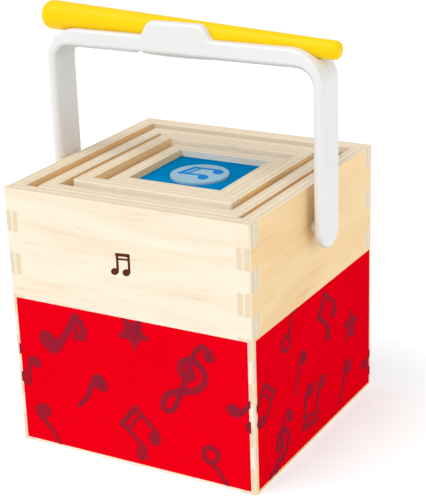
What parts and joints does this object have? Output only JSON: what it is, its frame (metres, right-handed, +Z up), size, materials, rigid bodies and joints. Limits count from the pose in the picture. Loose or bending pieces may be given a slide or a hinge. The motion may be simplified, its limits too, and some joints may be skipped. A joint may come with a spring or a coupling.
{
  "type": "nesting music box toy",
  "caption": "Square plywood drum box holding nested guiro, tone and shaker boxes, with a swinging moulded carry handle and a tapered mallet clipped on its crossbar.",
  "frame": {"origin": "centre of the drum box's footprint, on the surface that it stands on", "axes": "+Z up, +X to the right along the mallet towards its thin end, the front faces -Y"},
  "size_m": [0.1762, 0.1456, 0.23],
  "materials": {
    "birch_plywood": "clear satin lacquer",
    "drum_head_ply": "clear satin lacquer",
    "red_print": "printed satin film",
    "yellow_print": "printed satin film",
    "green_print": "printed satin film",
    "blue_print": "printed satin film",
    "blue_lid": "blue satin paint",
    "window": "frosted plastic",
    "beads": "polished",
    "white_plastic": "moulded gloss",
    "steel": "zinc plated",
    "yellow_paint": "yellow satin paint"
  },
  "bodies": {
    "drum": {"drum_wall_front": "birch_plywood", "drum_wall_back": "birch_plywood", "drum_wall_left": "birch_plywood", "drum_wall_right": "birch_plywood", "drum_head": "drum_head_ply", "drum_print_front": "red_print", "drum_print_back": "red_print", "drum_print_left": "red_print", "drum_print_right": "red_print"},
    "guiro_box": {"guiro_box_wall_front": "birch_plywood", "guiro_box_wall_back": "birch_plywood", "guiro_box_wall_left": "birch_plywood", "guiro_box_wall_right": "birch_plywood", "guiro_box_panel": "birch_plywood", "guiro_box_prints": "yellow_print"},
    "tone_box": {"tone_box_wall_front": "birch_plywood", "tone_box_wall_back": "birch_plywood", "tone_box_wall_left": "birch_plywood", "tone_box_wall_right": "birch_plywood", "tone_box_panel": "birch_plywood", "tone_box_prints": "green_print"},
    "shaker_box": {"shaker_box_wall_front": "birch_plywood", "shaker_box_wall_back": "birch_plywood", "shaker_box_wall_left": "birch_plywood", "shaker_box_wall_right": "birch_plywood", "shaker_box_panel": "birch_plywood", "shaker_box_prints": "blue_print", "shaker_lid": "blue_lid", "shaker_window": "window", "shaker_beads": "beads"},
    "handle": {"handle_bail": "white_plastic", "pivot_washers": "steel", "pivot_screws": "steel"},
    "mallet": {"mallet": "yellow_paint"}
  },
  "joints": [
    {"name": "handle_swing", "type": "hinge", "parent": "drum", "child": "handle", "pos_m": [0, -0.0022, 0.123], "axis": [1, 0, 0], "range_deg": [-105, 105]},
    {"name": "guiro_box_lift", "type": "slide", "parent": "drum", "child": "guiro_box", "axis": [0, 0, 1], "range_m": [0, 0.058]},
    {"name": "tone_box_lift", "type": "slide", "parent": "guiro_box", "child": "tone_box", "axis": [0, 0, 1], "range_m": [0, 0.058]},
    {"name": "shaker_box_lift", "type": "slide", "parent": "tone_box", "child": "shaker_box", "axis": [0, 0, 1], "range_m": [0, 0.058]},
    {"name": "mallet_lift", "type": "slide", "parent": "handle", "child": "mallet", "axis": [0, 0, 1], "range_m": [0, 0.04]}
  ]
}
